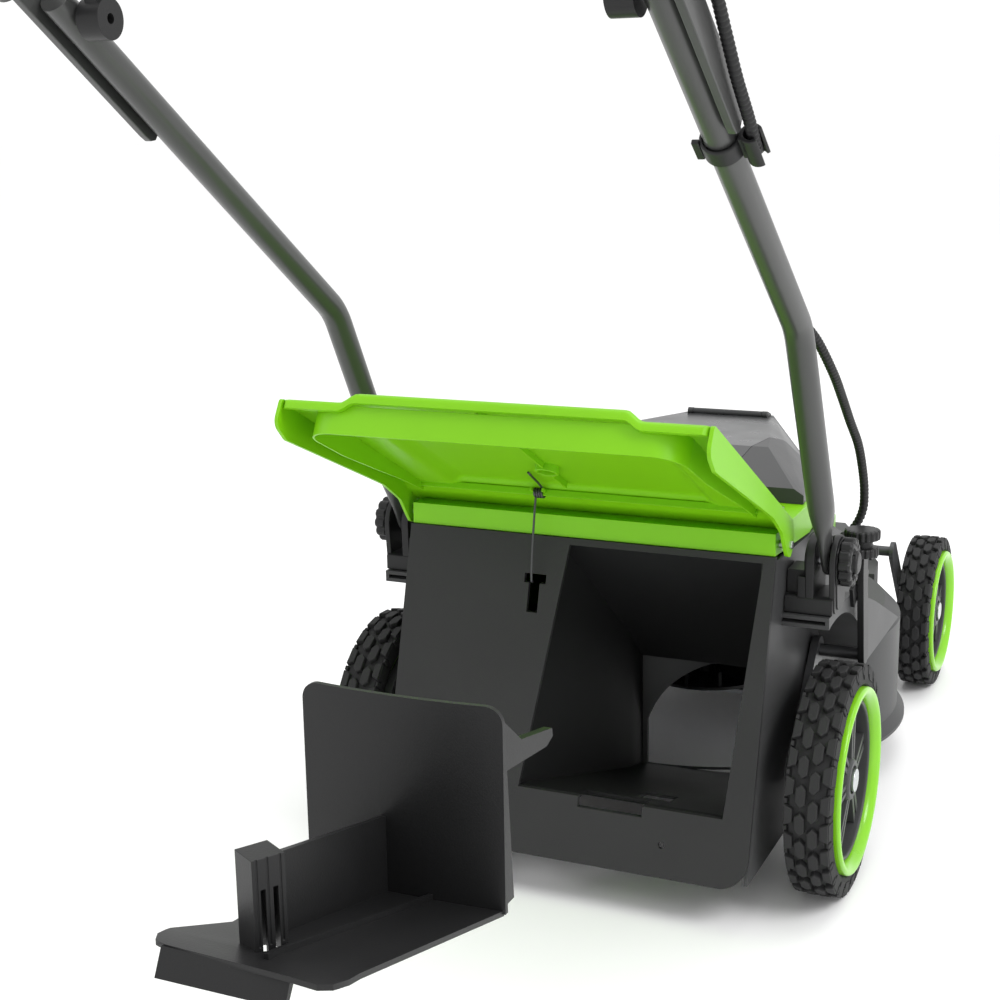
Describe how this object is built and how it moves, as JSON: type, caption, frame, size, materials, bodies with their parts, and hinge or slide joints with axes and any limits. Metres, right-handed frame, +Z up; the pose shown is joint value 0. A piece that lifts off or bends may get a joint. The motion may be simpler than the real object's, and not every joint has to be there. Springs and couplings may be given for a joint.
{
  "type": "push lawn mower",
  "caption": "Cordless push mower with an open rear flap, a removable mulching plug and a folding tube handle.",
  "frame": {"origin": "on the ground, at the middle of the overall length and width", "axes": "+X to the mower's right, +Y forward, +Z up"},
  "size_m": [0.426, 1.3622, 0.9539],
  "materials": {
    "deck": "moulded, fine texture",
    "panel": "moulded, smooth",
    "chute": "moulded, smooth",
    "green": "lime, satin gloss",
    "hood": "moulded, fine texture",
    "window": "smoky clear",
    "black": "moulded",
    "tyre": "block tread",
    "rim": "lime gloss",
    "hub": "moulded",
    "tube": "powder coated dark grey",
    "steel": "zinc plated",
    "blade": "ground edge",
    "crank": "black coated",
    "foam": "foam grip",
    "cable": "corrugated sleeve",
    "board": "lacquered",
    "motor": "machined",
    "key": "red",
    "battery": "moulded"
  },
  "bodies": {
    "chassis": {"deck_shell": "deck", "rear_housing": "hood", "rear_panel": "panel", "chute_tunnel": "chute", "top_cover": "green", "motor_cover": "hood", "battery_tray": "black", "controller_board": "board", "motor_can": "motor", "flap_hinge_rod": "steel", "flap_spring": "steel", "height_quadrant": "black", "bracket_right": "black", "bracket_left": "black", "pivot_bolts": "steel", "cable": "cable", "cable_gland": "black", "screws": "steel"},
    "lid": {"battery_lid": "window"},
    "battery": {"battery_pack": "battery"},
    "key": {"safety_key": "key"},
    "rotor": {"motor_shaft": "steel", "cooling_fan": "black", "blade": "blade", "blade_bolt": "steel"},
    "flap": {"rear_flap": "green"},
    "plug": {"mulch_plug": "black", "plug_latch": "black"},
    "rear_crank": {"rear_axle": "crank", "height_lever": "black", "height_knob": "black", "wheel_nuts_rear": "steel"},
    "front_crank": {"front_axle": "crank", "wheel_nuts_front": "steel"},
    "wheel_rear_right": {"tyre_rear_right": "tyre", "rim_rear_right": "rim", "hub_rear_right": "hub"},
    "wheel_rear_left": {"tyre_rear_left": "tyre", "rim_rear_left": "rim", "hub_rear_left": "hub"},
    "wheel_front_right": {"tyre_front_right": "tyre", "rim_front_right": "rim", "hub_front_right": "hub"},
    "wheel_front_left": {"tyre_front_left": "tyre", "rim_front_left": "rim", "hub_front_left": "hub"},
    "hand_knob_right": {"pivot_knob_right": "black"},
    "hand_knob_left": {"pivot_knob_left": "black"},
    "lower_handle": {"lower_tube_right": "tube", "lower_tube_left": "tube", "joint_bolts": "steel", "cable_clip": "black"},
    "cam_right": {"cam_lever_right": "black"},
    "cam_left": {"cam_lever_left": "black"},
    "upper_handle_group": {"upper_handle": "tube", "grip_sleeve": "foam", "switch_box": "black", "bail_pins": "black"},
    "bail": {"bail_lever": "black"},
    "start": {"start_button": "green"}
  },
  "joints": [
    {"name": "lid_hinge", "type": "hinge", "parent": "chassis", "child": "lid", "pos_m": [0, 0.4211, 0.309], "axis": [1, 0, 0], "range_deg": [-95, 0]},
    {"name": "battery_eject", "type": "slide", "parent": "chassis", "child": "battery", "axis": [0, 0, 1], "range_m": [0, 0.008]},
    {"name": "key_pull", "type": "slide", "parent": "chassis", "child": "key", "axis": [0, 0, 1], "range_m": [0, 0.006]},
    {"name": "rotor_spin", "type": "hinge", "parent": "chassis", "child": "rotor", "pos_m": [0, 0.3611, 0.06], "axis": [0, 0, 1], "continuous": true},
    {"name": "flap_hinge", "type": "hinge", "parent": "chassis", "child": "flap", "pos_m": [0, 0.0611, 0.279], "axis": [1, 0, 0], "range_deg": [0, 97], "deforming": ["flap_spring"]},
    {"name": "plug_slide", "type": "slide", "parent": "chassis", "child": "plug", "axis": [0, 0.9703, -0.2419], "range_m": [0, 0.53]},
    {"name": "height_rear", "type": "hinge", "parent": "chassis", "child": "rear_crank", "pos_m": [0, 0.1611, 0.168], "axis": [1, 0, 0], "range_deg": [0, 12]},
    {"name": "height_front", "type": "hinge", "parent": "chassis", "child": "front_crank", "pos_m": [0, 0.5331, 0.156], "axis": [1, 0, 0], "range_deg": [-12, 0]},
    {"name": "wheel_rear_right_spin", "type": "hinge", "parent": "rear_crank", "child": "wheel_rear_right", "pos_m": [0, 0.0911, 0.09], "axis": [1, 0, 0], "continuous": true},
    {"name": "wheel_rear_left_spin", "type": "hinge", "parent": "rear_crank", "child": "wheel_rear_left", "pos_m": [0, 0.0911, 0.09], "axis": [1, 0, 0], "continuous": true},
    {"name": "wheel_front_right_spin", "type": "hinge", "parent": "front_crank", "child": "wheel_front_right", "pos_m": [0, 0.6031, 0.078], "axis": [1, 0, 0], "continuous": true},
    {"name": "wheel_front_left_spin", "type": "hinge", "parent": "front_crank", "child": "wheel_front_left", "pos_m": [0, 0.6031, 0.078], "axis": [1, 0, 0], "continuous": true},
    {"name": "hand_knob_right_turn", "type": "hinge", "parent": "chassis", "child": "hand_knob_right", "pos_m": [0, 0.0911, 0.262], "axis": [1, 0, 0], "continuous": true},
    {"name": "hand_knob_left_turn", "type": "hinge", "parent": "chassis", "child": "hand_knob_left", "pos_m": [0, 0.0911, 0.262], "axis": [1, 0, 0], "continuous": true},
    {"name": "lower_handle_fold", "type": "hinge", "parent": "chassis", "child": "lower_handle", "pos_m": [0, 0.0911, 0.262], "axis": [1, 0, 0], "range_deg": [-88, 0], "deforming": ["cable"]},
    {"name": "upper_handle_fold", "type": "hinge", "parent": "lower_handle", "child": "upper_handle_group", "pos_m": [0, -0.29624, 0.64651], "axis": [1, 0, 0], "range_deg": [-120, 0], "deforming": ["cable"]},
    {"name": "cam_right_turn", "type": "hinge", "parent": "lower_handle", "child": "cam_right", "pos_m": [0, -0.29624, 0.64651], "axis": [1, 0, 0], "range_deg": [0, 90]},
    {"name": "cam_left_turn", "type": "hinge", "parent": "lower_handle", "child": "cam_left", "pos_m": [0, -0.29624, 0.64651], "axis": [1, 0, 0], "range_deg": [0, 90]},
    {"name": "bail_squeeze", "type": "hinge", "parent": "upper_handle_group", "child": "bail", "pos_m": [0, -0.57147, 0.86364], "axis": [1, 0, 0], "range_deg": [0, 33], "stiffness_Nm_per_rad": 1, "springref_deg": -22.92},
    {"name": "start_press", "type": "slide", "parent": "upper_handle_group", "child": "start", "axis": [0, -0.5736, -0.8192], "range_m": [0, 0.003], "stiffness_N_per_m": 500, "springref_m": -0.002}
  ],
  "couplings": [
    {"joint": "height_front", "follows": "height_rear", "ratio": -1}
  ]
}
